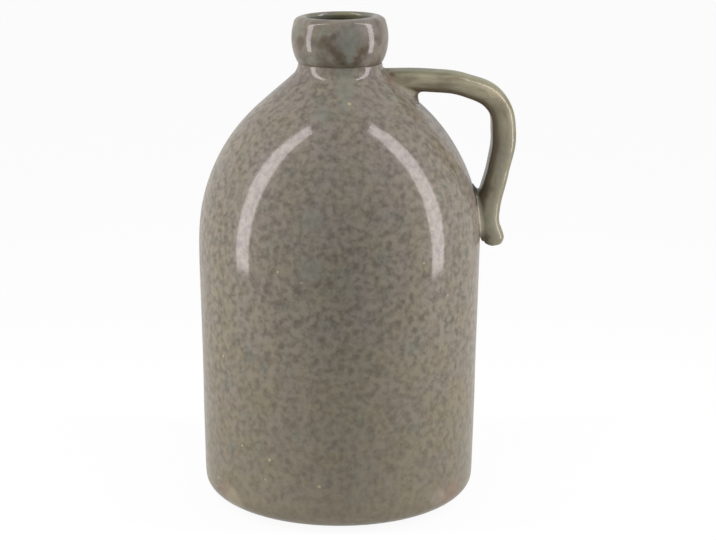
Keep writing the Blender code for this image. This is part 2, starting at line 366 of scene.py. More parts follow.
class HandleSizes(bpy.types.PropertyGroup):
    """Sizes of the strap handle"""

    width: size_value("Strap width", "Across the jug", STRAP_BOX[1].y - STRAP_BOX[0].y)
    thickness: size_value("Strap thickness", "From its inner to its outer face", 0.0146)
    corner: size_value("Corner", "Rounding of the strap's long edges", 0.0060)
    drop: size_value("Drop", "Level run, below the top of the neck", 0.0111)
    level_run: size_value("Level run", "Length of the level run, from the neck", 0.0300)
    reach: size_value("Reach", "Outermost point of the centre line, beyond the body", 0.0140)
    press: size_value("Press", "Centre line of the pressed-on stretch, beyond the body", 0.0046)
    tail_bulge: size_value("Tail bulge", "Tail at the widest line, beyond the body", 0.0078)
    tail_flick: size_value("Tail flick", "Tip of the tail, beyond the body", 0.0086)
    tail_drop: size_value("Tail drop", "Tip of the tail, below the widest line", 0.0045)
    tail_tuck: size_value("Tail tuck", "How far the tail's underside rises towards the wall", 0.0032)
    root_depth: size_value("Root depth", "How deep the ends lie in the wall", 0.0030)
    fillet: size_value("Fillet", "Radius of the clay smoothed round both ends", 0.0027)
    loop_fillet: size_value("Loop fillet", "Radius of the clay under the upper end, in the loop", 0.0046)
    glaze_reach: size_value("Glaze reach", "How far the body's glaze runs up the upper fillet", 0.0030)


class GlazeColours(bpy.types.PropertyGroup):
    """Colours of the glazes and of the bare clay"""

    mauve: colour_value("Mauve", "Ground of the mottled glaze", (0.197, 0.181, 0.150))
    olive: colour_value("Olive", "Greener stretches of the mottled glaze", (0.207, 0.187, 0.122))
    fleck: colour_value("Fleck", "Dark flecks of the mottled glaze", (0.050, 0.043, 0.031))
    teal: colour_value("Teal", "Cool patches where the glaze is thick", (0.168, 0.180, 0.145))
    cream: colour_value("Cream", "Pinholes where the clay shows", (0.360, 0.310, 0.180))
    heel: colour_value("Heel", "Thin glaze over the heel", (0.202, 0.182, 0.124))
    # Also painted as highlights on the heel's left and right
    blush: colour_value("Blush", "Toasted clay under thin glaze", (0.232, 0.156, 0.110))
    celadon: colour_value("Celadon", "Plain glaze of the handle", (0.216, 0.210, 0.146))
    # Also a painted highlight on the heel's left; on the level run its lightness is partly painted light
    straw: colour_value("Straw", "Yellower glaze on the handle's level run", (0.320, 0.300, 0.198))
    # Also painted highlights on the heel and along both ends of the handle
    bare: colour_value("Bare", "Glaze broken thin over a ridge", (0.430, 0.395, 0.330))
    # Also painted shade on the handle's outer edge
    moss: colour_value("Moss", "Green glaze inside the jug and on the handle's edge", (0.125, 0.135, 0.078))
    # Its paleness is partly painted light
    liner: colour_value("Liner", "Paler green glaze just inside the mouth", (0.182, 0.184, 0.106))
    # Also painted shade along the handle's inner edge
    umber: colour_value("Umber", "Brown stains and runs", (0.085, 0.064, 0.038))
    # Also painted shade deep inside the mouth
    iron: colour_value("Iron", "Almost black pooled glaze", (0.030, 0.021, 0.015))
    clay: colour_value("Clay", "Bare clay of the foot", (0.480, 0.400, 0.290))


class StudioSettings(bpy.types.PropertyGroup):
    """Lamps and camera"""

    strip_width: size_value("Strip width", "Width of each strip lamp", 0.133)
    strip_power: number_value("Strip power", "Power of each strip lamp", 4.55, "POWER")
    strip_colour: colour_value("Strip colour", "Light of the strip lamps", (1.00, 0.91, 0.95))
    left_foot: place_value("Left foot", "Lower end of the left lamp", (-0.600, -0.116, 0.030))
    left_top: place_value("Left top", "Upper end of the left lamp", (-0.342, -0.135, 1.080))
    right_foot: place_value("Right foot", "Lower end of the right lamp", (0.603, -0.095, 0.012))
    right_top: place_value("Right top", "Upper end of the right lamp", (0.343, -0.130, 1.080))
    ambient: number_value("Ambient", "Soft light from all round", 0.50)
    floor_reach: size_value("Floor reach", "Half the width of the floor", 30.0)
    camera_distance: size_value("Camera distance", "Level distance from the jug's axis", 1.25043)
    camera_height: size_value("Camera height", "Above the floor", 0.45746)
    camera_tilt: angle_value("Camera tilt", "Below the horizon", 13.92)
    camera_turn: angle_value("Camera turn", "To the right of the jug's axis", 0.545)
    camera_roll: angle_value("Camera roll", "About the line of sight", 0.33)
    camera_lens: number_value("Camera lens", "Focal length", 100.56, "CAMERA")


def arc(centre, radii, start, end, steps):
    """Points of an elliptical arc as (radius, height), from the start angle to the end angle."""
    angles = [start + (end - start) * i / steps for i in range(steps + 1)]
    return [(centre[0] + radii[0] * math.cos(a), centre[1] + radii[1] * math.sin(a)) for a in angles]


def round_arc(centre, radius, start, end, steps):
    """Points of a circular arc."""
    return arc(centre, (radius, radius), start, end, steps)


def dome_foot(sizes):
    """Height of the widest line, where the dome starts."""
    return sizes.neck_top - sizes.shoulder_height


def wall_radius(sizes, height):
    """Outer radius of the tapered wall."""
    share = (dome_foot(sizes) - height) / (dome_foot(sizes) - sizes.heel_height)
    return sizes.body_radius - share * sizes.heel_taper


def wall_outline(sizes, low, inset):
    """The wall from a height up to the widest line, moved inwards by inset."""
    heights = [low + (dome_foot(sizes) - low) * i / WALL_STEPS for i in range(WALL_STEPS)]
    return [(wall_radius(sizes, height) - inset, height) for height in heights]


def dome_shape(sizes):
    """Radius of the dome's arc, and the angle at which the cone leaves it."""
    span = sizes.body_radius - sizes.neck_radius
    reach = (sizes.shoulder_height**2 - sizes.cone_run**2 - span**2) / (2 * span)
    slope = math.atan2(sizes.shoulder_height, reach) - math.atan2(sizes.cone_run, reach + span)
    return reach + span - sizes.neck_fillet, slope


def shoulder_outline(sizes, inset):
    """Dome, cone and hollow neck, from the widest line up to the neck's top, moved inwards by inset."""
    dome, slope = dome_shape(sizes)
    dome_centre = (sizes.body_radius - dome, dome_foot(sizes))
    neck_centre = (sizes.neck_radius + sizes.neck_fillet, sizes.neck_top)
    points = round_arc(dome_centre, dome - inset, 0.0, slope, DOME_STEPS)
    return points + round_arc(neck_centre, sizes.neck_fillet + inset, math.pi + slope, math.pi, NECK_STEPS)


def side_outline(sizes, inset):
    """Upper half of the wall and the whole shoulder, moved inwards by inset."""
    return wall_outline(sizes, dome_foot(sizes) / 2, inset) + shoulder_outline(sizes, inset)


def body_outline(sizes):
    """The whole body: up its outside from the glaze line, over the neck, and down inside to the floor."""
    heel_radii = (sizes.body_radius - sizes.heel_taper - sizes.foot_radius, sizes.heel_height)
    heel_start = math.asin(sizes.glaze_line / sizes.heel_height - 1)
    edge = sizes.seam_round
    edge_centre = (sizes.neck_radius - edge, sizes.neck_top - edge)
    floor_side = sizes.floor + sizes.floor_round
    inner = wall_radius(sizes, floor_side) - sizes.wall
    floor_centre = (inner - sizes.floor_round, floor_side)
    outline = arc((sizes.foot_radius, sizes.heel_height), heel_radii, heel_start, 0.0, HEEL_STEPS)
    outline += wall_outline(sizes, sizes.heel_height, 0.0)[1:]
    outline += shoulder_outline(sizes, 0.0)[:-1]
    outline += round_arc(edge_centre, edge, 0.0, QUARTER, EDGE_STEPS)
    outline += shoulder_outline(sizes, sizes.wall)[::-1]
    outline += wall_outline(sizes, floor_side, sizes.wall)[:0:-1]
    return outline + round_arc(floor_centre, sizes.floor_round, 0.0, -QUARTER, EDGE_STEPS)


def collar_outline(sizes):
    """The collar from the inner edge of its foot, up the barrel, over the rim and down the bore."""
    foot = sizes.neck_top - SEAM_DEPTH * sizes.seam_round
    bore = sizes.neck_radius - sizes.wall
    belly = sizes.height - sizes.belly_drop
    belly_radius = COLLAR_BOX[1].x
    swell = belly_radius - sizes.neck_radius + sizes.seam_inset
    barrel = ((belly - foot) ** 2 + swell**2) / (2 * swell)
    foot_angle = math.asin((foot - belly) / barrel)
    rim_angle = math.asin((sizes.belly_drop - sizes.lip_round) / barrel)
    side = round_arc((belly_radius - barrel, belly), barrel, foot_angle, rim_angle, BARREL_STEPS)
    edge = sizes.seam_round
    crest = sizes.mouth_radius + sizes.lip_spread
    outer_radii = (side[-1][0] - crest, sizes.lip_round)
    inner_radii = (sizes.lip_spread, sizes.lip_drop)
    hollow_top = sizes.height - sizes.lip_drop
    outline = [(bore, foot)]
    outline += round_arc((side[0][0] - edge, foot + edge), edge, -QUARTER, 0.0, EDGE_STEPS)
    outline += side[1:-1]
    outline += arc((crest, sizes.height - sizes.lip_round), outer_radii, 0.0, QUARTER, LIP_STEPS)
    outline += arc((crest, hollow_top), inner_radii, QUARTER, math.pi, LIP_STEPS)[1:]
    for step in range(1, BORE_STEPS):
        share = step / BORE_STEPS
        radius = sizes.mouth_radius + (bore - sizes.mouth_radius) * share
        hollow = sizes.undercut * math.sin(math.pi * share)
        outline.append((radius + hollow, hollow_top + (foot - hollow_top) * share))
    return outline


def set_mode(mode):
    """Switch between object and edit mode."""
    bpy.ops.object.mode_set(mode=mode)


def start_piece(context):
    """Select nothing, so that the next operators act on the new piece alone."""
    if context.mode != "OBJECT":
        set_mode("OBJECT")
    bpy.ops.object.select_all(action="DESELECT")


def add_ring(context, name, radius, height, fill):
    """Add a circle, name it and open it in edit mode, all selected."""
    start_piece(context)
    bpy.ops.mesh.primitive_circle_add(
        vertices=RING_VERTICES, radius=radius, fill_type=fill, location=(0.0, 0.0, height)
    )
    bpy.ops.object.transform_apply(location=True, rotation=True, scale=True)
    context.object.name = name
    context.object.data.name = name
    set_mode("EDIT")
    return context.object


def raise_outline(outline):
    """Extrude the selected ring or disc through the (radius, height) points that follow its own."""
    for (radius, height), (next_radius, next_height) in zip(outline, outline[1:]):
        bpy.ops.mesh.extrude_region_move(TRANSFORM_OT_translate={"value": (0.0, 0.0, next_height - height)})
        scale = next_radius / radius
        bpy.ops.transform.resize(value=(scale, scale, 1.0), center_override=(0.0, 0.0, next_height))


def close_mesh():
    """Merge doubled vertices and turn all faces outwards, in edit mode."""
    bpy.ops.mesh.select_all(action="SELECT")
    bpy.ops.mesh.remove_doubles(threshold=MERGE_DISTANCE)
    bpy.ops.mesh.normals_make_consistent(inside=False)


def turn_solid(context, name, outline):
    """Turn an outline round the axis into a solid with flat ends."""
    solid = add_ring(context, name, *outline[0], "NGON")
    raise_outline(outline)
    close_mesh()
    set_mode("OBJECT")
    return solid


def select_none(kind):
    """Deselect the whole mesh and choose what to select, in edit mode."""
    bpy.ops.mesh.select_all(action="DESELECT")
    bpy.ops.mesh.select_mode(type=kind)


def select_vertices(obj, test):
    """Select the vertices whose place passes a test, in edit mode."""
    select_none("VERT")
    set_mode("OBJECT")
    for vertex in obj.data.vertices:
        vertex.select = test(vertex.co)
    set_mode("EDIT")


def apply_modifier(obj, kind, **settings):
    """Add a modifier with these settings and apply it."""
    modifier = obj.modifiers.new(kind.title(), kind)
    for name, value in settings.items():
        setattr(modifier, name, value)
    bpy.ops.object.modifier_apply(modifier=modifier.name)


def smooth_cage(obj):
    """Subdivide a finished cage once."""
    apply_modifier(obj, "SUBSURF", levels=1, render_levels=1)


def finish_piece(obj, materials, nodes):
    """Shade a piece smooth, glaze it and put it in the frame in place of its solids."""
    bpy.ops.object.shade_smooth()
    for material in materials:
        obj.data.materials.append(material)
    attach(obj, BODY)
    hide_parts(*nodes)


def add_node(tree, kind, inputs, **settings):
    """Add a node; inputs maps its sockets to values or to the sockets that feed them."""
    node = tree.nodes.new(kind)
    for name, value in settings.items():
        setattr(node, name, value)
    for name, value in inputs.items():
        if isinstance(value, bpy.types.NodeSocket):
            tree.links.new(value, node.inputs[name])
        else:
            node.inputs[name].default_value = value
    return node


def calculate(tree, operation, first, second=0.0, third=0.0, clamp=False):
    """Result of a Math node."""
    inputs = {0: first, 1: second, 2: third}
    return add_node(tree, "ShaderNodeMath", inputs, operation=operation, use_clamp=clamp).outputs[0]


def add(tree, first, second):
    """Sum of two values."""
    return calculate(tree, "ADD", first, second)


def subtract(tree, first, second):
    """Difference of two values."""
    return calculate(tree, "SUBTRACT", first, second)


def multiply(tree, first, second):
    """Product of two values."""
    return calculate(tree, "MULTIPLY", first, second)


def divide(tree, first, second):
    """Quotient of two values."""
    return calculate(tree, "DIVIDE", first, second)


def stray(tree, cloud, reach):
    """Noise moved to lie about zero, and scaled."""
    return multiply(tree, subtract(tree, cloud, 0.5), reach)


def vector_math(tree, operation, first, second=(0.0, 0.0, 0.0)):
    """Result of a Vector Math node: a number for lengths and dot products, and else a vector."""
    outputs = add_node(tree, "ShaderNodeVectorMath", {0: first, 1: second}, operation=operation).outputs
    return outputs["Value" if operation in ("DISTANCE", "LENGTH", "DOT_PRODUCT") else "Vector"]


def separate(tree, place):
    """The X, Y and Z of a place."""
    return add_node(tree, "ShaderNodeSeparateXYZ", {0: place}).outputs


def noise(tree, place, scale, detail, roughness=0.5, distortion=0.0):
    """Result of a Noise Texture node."""
    inputs = {"Vector": place, "Scale": scale, "Detail": detail, "Roughness": roughness,
              "Distortion": distortion}
    return add_node(tree, "ShaderNodeTexNoise", inputs).outputs["Fac"]


def fade(tree, value, low, high):
    """0 below low and 1 above high, or the other way round, with a smooth step between."""
    inputs = {"Value": value, "From Min": low, "From Max": high}
    return add_node(tree, "ShaderNodeMapRange", inputs, interpolation_type="SMOOTHSTEP").outputs["Result"]


def weak_fade(tree, value, limits, strength):
    """A fade between two limits that ends at a strength below 1."""
    return multiply(tree, fade(tree, value, *limits), strength)


def tint(tree, factor, below, above):
    """Mix two colours, each a socket or a property, by a factor."""
    inputs = {0: factor}
    for socket, colour in ((6, below), (7, above)):
        inputs[socket] = colour if isinstance(colour, bpy.types.NodeSocket) else (*colour, 1.0)
    return add_node(tree, "ShaderNodeMix", inputs, data_type="RGBA").outputs[2]


def new_group(name, vectors, numbers, results):
    """A node group with these inputs and results; returns it with the sockets that give and take them."""
    group = bpy.data.node_groups.new(name, "ShaderNodeTree")
    sockets = [(socket, "INPUT", "NodeSocketVector") for socket in vectors]
    sockets += [(socket, "INPUT", "NodeSocketFloat") for socket in numbers]
    sockets += [(socket, "OUTPUT", "NodeSocketFloat") for socket in results]
    for socket, way, kind in sockets:
        group.interface.new_socket(socket, in_out=way, socket_type=kind)
    return group, group.nodes.new("NodeGroupInput").outputs, group.nodes.new("NodeGroupOutput").inputs


def build_mottle(name):
    """Soft dark flecks, clouds, cool patches and a drift of hue, at a given fleck size."""
    results = ("Flecks", "Clouds", "Patches", "Drift")
    group, given, made = new_group(name, ("Vector",), ("Fleck Size",), results)
    density = divide(group, 1.0, given["Fleck Size"])

    def layer(share, detail, roughness, shift):
        """Noise at a share of the fleck density, moved so that no two layers agree."""
        place = vector_math(group, "ADD", given["Vector"], (shift, shift, shift))
        return noise(group, place, multiply(group, density, share), detail, roughness, LAYER_DISTORTION)

    cells = {"Vector": given["Vector"], "Scale": multiply(group, density, CELL_DENSITY)}
    dots = add_node(group, "ShaderNodeTexVoronoi", cells).outputs["Distance"]
    specks = multiply(group, layer(*FLECK_LAYER), 1.0 - CELL_SHARE)
    specks = calculate(group, "MULTIPLY_ADD", dots, CELL_SHARE, third=specks)
    group.links.new(fade(group, specks, *FLECK_RANGE), made["Flecks"])
    group.links.new(layer(*CLOUD_LAYER), made["Clouds"])
    group.links.new(fade(group, layer(*PATCH_LAYER), *PATCH_RANGE), made["Patches"])
    group.links.new(fade(group, layer(*DRIFT_LAYER), *DRIFT_RANGE), made["Drift"])
    return group


def build_pinholes(name):
    """Sparse small spots where a bubble burst in the glaze."""
    group, given, made = new_group(name, ("Vector",), ("Spacing", "Radius"), ("Mask",))
    density = divide(group, 1.0, given["Spacing"])
    cells = add_node(group, "ShaderNodeTexVoronoi", {"Vector": given["Vector"], "Scale": density}).outputs
    spot = divide(group, cells["Distance"], divide(group, given["Radius"], given["Spacing"]))
    chance = add_node(group, "ShaderNodeSeparateColor", {0: cells["Color"]}).outputs[0]
    chosen = calculate(group, "GREATER_THAN", chance, PINHOLE_CHANCE)
    group.links.new(weak_fade(group, spot, PINHOLE_EDGE, chosen), made["Mask"])
    return group


def build_ripple(name):
    """Height of the glaze surface: faint throwing rings and the skin of the melt."""
    group, given, made = new_group(name, ("Vector",), (), ("Height",))
    stretch = {"Vector": given["Vector"], "Scale": RING_STRETCH}
    stretched = add_node(group, "ShaderNodeMapping", stretch).outputs[0]
    rings = multiply(group, noise(group, stretched, 1.0, 1.0), RING_SHARE)
    skin = multiply(group, noise(group, given["Vector"], SKIN_FINENESS, 1.0), 1.0 - RING_SHARE)
    group.links.new(add(group, rings, skin), made["Height"])
    return group


def build_stain(name):
    """A soft spot round a point, ragged at its edge: gathered glaze, and on the heel a painted highlight."""
    group, given, made = new_group(name, ("Vector", "Centre"), ("Reach",), ("Mask",))
    away = vector_math(group, "DISTANCE", given["Vector"], given["Centre"])
    share = divide(group, away, given["Reach"])
    wander = stray(group, noise(group, given["Vector"], STAIN_FINENESS, 2.0), STAIN_WANDER)
    group.links.new(fade(group, add(group, share, wander), *STAIN_EDGE), made["Mask"])
    return group


def build_run(name):
    """A run of glaze down the front, between two points given as (x, 0, z), with wavering sides."""
    group, given, made = new_group(name, ("Vector", "Top", "Foot"), ("Width",), ("Mask",))
    here, top, foot = [separate(group, given[socket]) for socket in ("Vector", "Top", "Foot")]
    share = divide(group, subtract(group, here["Z"], foot["Z"]), subtract(group, top["Z"], foot["Z"]))
    lean = multiply(group, subtract(group, top["X"], foot["X"]), share)
    aside = subtract(group, subtract(group, here["X"], foot["X"]), lean)
    away = divide(group, calculate(group, "ABSOLUTE", aside), given["Width"])
    waver = noise(group, given["Vector"], RUN_FINENESS, 3.0)
    sides = fade(group, add(group, away, stray(group, waver, RUN_WAVER)), *RUN_SIDES)
    ragged = add(group, share, stray(group, waver, RUN_END_WAVER))
    ends = multiply(group, fade(group, ragged, *RUN_TOP), fade(group, ragged, *RUN_FOOT))
    front = calculate(group, "LESS_THAN", here["Y"], 0.0)
    group.links.new(multiply(group, multiply(group, sides, ends), front), made["Mask"])
    return group


def distance_from_axis(tree, place):
    """Distance of a point from the jug's axis."""
    return vector_math(tree, "LENGTH", vector_math(tree, "MULTIPLY", place, (1.0, 1.0, 0.0)))


def build_body_distance(name):
    """Height of a point above the outside of the jug's wall and dome, and above its cone."""
    numbers = ("Body Radius", "Dome Radius", "Dome Foot", "Cone Slope")
    group, given, made = new_group(name, ("Vector",), numbers, ("Dome", "Cone"))
    dome = given["Dome Radius"]
    slope = given["Cone Slope"]
    rise = subtract(group, separate(group, given["Vector"])["Z"], given["Dome Foot"])
    inset = subtract(group, dome, given["Body Radius"])
    run = add(group, distance_from_axis(group, given["Vector"]), inset)
    upright = calculate(group, "MAXIMUM", rise, 0.0)
    square = calculate(group, "MULTIPLY_ADD", run, run, third=multiply(group, upright, upright))
    group.links.new(subtract(group, calculate(group, "SQRT", square), dome), made["Dome"])
    level = multiply(group, run, calculate(group, "COSINE", slope))
    tangent = calculate(group, "MULTIPLY_ADD", rise, calculate(group, "SINE", slope), third=level)
    group.links.new(subtract(group, tangent, dome), made["Cone"])
    return group


def build_strap_ways(name):
    """Directions on a bent strap: how far a face looks out of the loop, and streaks that run along it."""
    group, given, made = new_group(name, ("Vector", "Normal", "Bend"), (), ("Outward", "Streaks"))
    beyond = vector_math(group, "SUBTRACT", given["Vector"], given["Bend"])
    beyond = vector_math(group, "MAXIMUM", beyond)
    beyond = vector_math(group, "MULTIPLY", beyond, (1.0, 0.0, 1.0))
    out = vector_math(group, "NORMALIZE", beyond)
    group.links.new(vector_math(group, "DOT_PRODUCT", out, given["Normal"]), made["Outward"])
    here = separate(group, given["Vector"])
    stretched = {
        "X": multiply(group, vector_math(group, "LENGTH", beyond), STREAK_ACROSS),
        "Y": multiply(group, here["Y"], STREAK_ACROSS),
        "Z": multiply(group, subtract(group, here["X"], here["Z"]), STREAK_ALONG),
    }
    along = add_node(group, "ShaderNodeCombineXYZ", stretched).outputs[0]
    group.links.new(noise(group, along, 1.0, 2.0), made["Streaks"])
    return group


GROUP_BUILDERS = {
    "mottle": build_mottle,
    "pinholes": build_pinholes,
    "ripple": build_ripple,
    "stain": build_stain,
    "run": build_run,
    "body_distance": build_body_distance,
    "strap_ways": build_strap_ways,
}


def use_group(tree, name, place, inputs):
    """Put in a node group, built the first time it is asked for, and return its outputs."""
    group = bpy.data.node_groups.get(name) or GROUP_BUILDERS[name](name)
    return add_node(tree, "ShaderNodeGroup", {"Vector": place, **inputs}, node_tree=group).outputs


def use_mottle(tree, place, fleck_size):
    """The mottle at a fleck size."""
    return use_group(tree, "mottle", place, {"Fleck Size": fleck_size})


def paint_marks(tree, colour, place, colours, kind, marks):
    """A colour with stains, runs and painted highlights painted over it."""
    for *shape, strength, paint in marks:
        inputs = dict(zip(MARK_SOCKETS[kind], shape))
        mask = use_group(tree, kind, place, inputs)["Mask"]
        colour = tint(tree, multiply(tree, mask, strength), colour, getattr(colours, paint))
    return colour


def paint_mottle(tree, place, colours, mottle, fleck_strength):
    """Mottled ground, greyer on the dome and more olive below; returns it with its fleck mask."""
    height = separate(tree, place)["Z"]
    lowness = weak_fade(tree, height, OLIVE_FADE, OLIVE_SHARE)
    drift = multiply(tree, mottle["Drift"], 1.0 - OLIVE_SHARE)
    ground = tint(tree, add(tree, lowness, drift), colours.mauve, colours.olive)
    ground = tint(tree, multiply(tree, mottle["Patches"], PATCH_STRENGTH), ground, colours.teal)
    rise = {"Value": height, "From Min": FLECK_RISE[0], "From Max": FLECK_RISE[1],
            "To Min": FLECK_CONTRAST[0], "To Max": FLECK_CONTRAST[1]}
    contrast = add_node(tree, "ShaderNodeMapRange", rise).outputs["Result"]
    from_mean = subtract(tree, mottle["Flecks"], FLECK_MEAN)
    even = calculate(tree, "MULTIPLY_ADD", from_mean, contrast, third=FLECK_MEAN, clamp=True)
    flecks = multiply(tree, even, fleck_strength)
    return tint(tree, flecks, ground, colours.fleck), flecks


def new_material(name):
    """A material with a Principled shader; returns it with its tree, shader and Object coordinates."""
    material = bpy.data.materials.new(name)
    material.use_nodes = True
    tree = material.node_tree
    place = tree.nodes.new("ShaderNodeTexCoord").outputs["Object"]
    return material, tree, tree.nodes["Principled BSDF"], place


def finish_surface(tree, shader, colour, roughness, height, lift):
    """Wire a colour, a roughness and an uneven surface to a shader."""
    bump = add_node(tree, "ShaderNodeBump", {"Height": height, "Strength": 1.0, "Distance": lift})
    tree.links.new(colour, shader.inputs["Base Color"])
    tree.links.new(roughness, shader.inputs["Roughness"])
    tree.links.new(bump.outputs["Normal"], shader.inputs["Normal"])


def finish_glaze(tree, shader, colour, dull, height, lift):
    """Wire a glaze to its shader: a glassy skin over the colour, thinner and rougher where it is dull."""
    roughness = calculate(tree, "MULTIPLY_ADD", dull, DULL_ROUGHNESS, third=BASE_ROUGHNESS)
    finish_surface(tree, shader, colour, roughness, height, lift)
    glassy = calculate(tree, "MULTIPLY_ADD", dull, -DULL_COAT_LOSS * COAT_WEIGHT, third=COAT_WEIGHT)
    tree.links.new(glassy, shader.inputs["Coat Weight"])
    shader.inputs["Coat IOR"].default_value = COAT_IOR
    shader.inputs["Coat Roughness"].default_value = COAT_ROUGHNESS
    shader.inputs["Specular IOR Level"].default_value = BASE_GLOSS


def make_body_glaze(colours):
    """Mottled grey-mauve and olive glaze, thinning to plain olive over the heel."""
    material, tree, shader, place = new_material("body_glaze")
    mottle = use_mottle(tree, place, BODY_FLECK)
    colour, flecks = paint_mottle(tree, place, colours, mottle, BODY_FLECK_STRENGTH)
    ragged = stray(tree, mottle["Clouds"], HEEL_RAGGED)
    above_heel = fade(tree, add(tree, separate(tree, place)["Z"], ragged), *HEEL_FADE)
    heel = tint(tree, weak_fade(tree, mottle["Clouds"], *HEEL_TOAST), colours.heel, colours.blush)
    heel = tint(tree, multiply(tree, flecks, HEEL_FLECKS), heel, colours.fleck)
    colour = tint(tree, above_heel, heel, colour)
    colour = paint_marks(tree, colour, place, colours, "run", BODY_RUNS)
    colour = tint(tree, use_group(tree, "pinholes", place, PINHOLES)["Mask"], colour, colours.cream)
    # Stains and pinholes, and painted highlights on the heel's left and right
    colour = paint_marks(tree, colour, place, colours, "stain", BODY_STAINS_AND_HIGHLIGHTS)
    ripple = use_group(tree, "ripple", place, {})["Height"]
    finish_glaze(tree, shader, colour, multiply(tree, flecks, BODY_DULL), ripple, GLAZE_LIFT)
    return material


def paint_mouth(tree, colour, place, sizes, colours):
    """A colour with the green glaze inside the mouth painted over it, paler in the middle partly as painted
    light, and darkened by painted shade in the depth.
    """
    here = separate(tree, place)
    radius = distance_from_axis(tree, place)
    # Paler green in the middle of the mouth, partly painted light
    aside = calculate(tree, "ABSOLUTE", subtract(tree, here["X"], LINER_MIDDLE))
    liner = tint(tree, fade(tree, aside, *LINER_SPAN), colours.teal, colours.liner)
    # Painted shade: deeper below the rim the liner turns near black
    deep = fade(tree, here["Z"], *[sizes.height - depth for depth in LINER_SHADE_DEPTHS])
    liner = tint(tree, deep, liner, colours.iron)
    inside = fade(tree, radius, sizes.mouth_radius + LINER_LIP * sizes.lip_spread, sizes.mouth_radius)
    bored = calculate(tree, "LESS_THAN", radius, sizes.mouth_radius + sizes.undercut + BORE_MARGIN)
    crest = sizes.height - sizes.lip_drop
    hollow = weak_fade(tree, here["Z"], (crest, crest - LINER_START), bored)
    return tint(tree, calculate(tree, "MAXIMUM", inside, hollow), colour, liner)


def make_collar_glaze(sizes, colours):
    """The body's glaze in larger blotches, with brown runs, and green inside the mouth."""
    material, tree, shader, place = new_material("collar_glaze")
    blotches = use_mottle(tree, place, COLLAR_FLECK)
    colour, flecks = paint_mottle(tree, place, colours, blotches, COLLAR_FLECK_STRENGTH)
    colour = paint_marks(tree, colour, place, colours, "run", COLLAR_COOL_RUNS)
    colour = paint_marks(tree, colour, place, colours, "stain", COLLAR_STAINS)
    colour = paint_marks(tree, colour, place, colours, "run", COLLAR_BROWN_RUNS)
    grain = multiply(tree, use_mottle(tree, place, BODY_FLECK)["Flecks"], COLLAR_GRAIN)
    colour = tint(tree, grain, colour, colours.fleck)
    colour = paint_mouth(tree, colour, place, sizes, colours)
    limits = (sizes.neck_top + SEAM_REACH * sizes.seam_round, sizes.neck_top)
    seam = weak_fade(tree, separate(tree, place)["Z"], limits, SEAM_STRENGTH)
    colour = tint(tree, seam, colour, colours.umber)
    ripple = use_group(tree, "ripple", place, {})["Height"]
    finish_glaze(tree, shader, colour, multiply(tree, flecks, COLLAR_DULL), ripple, GLAZE_LIFT)
    return material


def make_inner_glaze(colours):
    """Green liner glaze down the neck and inside the body."""
    material, tree, shader, place = new_material("inner_glaze")
    flecks = use_mottle(tree, place, INNER_FLECK)["Flecks"]
    colour = tint(tree, flecks, colours.moss, colours.umber)
    ripple = use_group(tree, "ripple", place, {})["Height"]
    finish_glaze(tree, shader, colour, multiply(tree, flecks, INNER_DULL), ripple, GLAZE_LIFT)
    return material


def paint_strap(tree, place, colours, strap, broad, flecks, outer):
    """Celadon, yellower and lighter on the level run, the lightness partly painted light, in pulled streaks
    and clouds, and darker along both edges, partly as painted shade.
    """
    # Yellower and lighter on the level run, the lightness partly painted light
    level_run = fade(tree, separate(tree, place)["Z"], *STRAW_RISE)
    colour = tint(tree, level_run, colours.celadon, colours.straw)
    colour = tint(tree, weak_fade(tree, strap["Streaks"], *OLIVE_STREAKS), colour, colours.olive)
    colour = tint(tree, weak_fade(tree, strap["Streaks"], *BROWN_STREAKS), colour, colours.umber)
    colour = tint(tree, multiply(tree, broad["Patches"], HANDLE_PATCHES), colour, colours.teal)
    colour = tint(tree, weak_fade(tree, broad["Clouds"], *BROWN_CLOUDS), colour, colours.umber)
    colour = tint(tree, multiply(tree, flecks, HANDLE_FLECK_STRENGTH), colour, colours.fleck)
    # Darker green where the strap faces out of the loop, partly painted shade
    clouds = fade(tree, broad["Clouds"], *OUTER_CLOUDS)
    uneven = calculate(tree, "MULTIPLY_ADD", clouds, OUTER_SHARE, third=OUTER_LEAST)
    colour = tint(tree, multiply(tree, outer, uneven), colour, colours.moss)
    # Brown along the inner edge, partly painted shade where the strap faces into the loop
    return tint(tree, weak_fade(tree, strap["Outward"], *INNER_EDGE), colour, colours.umber)


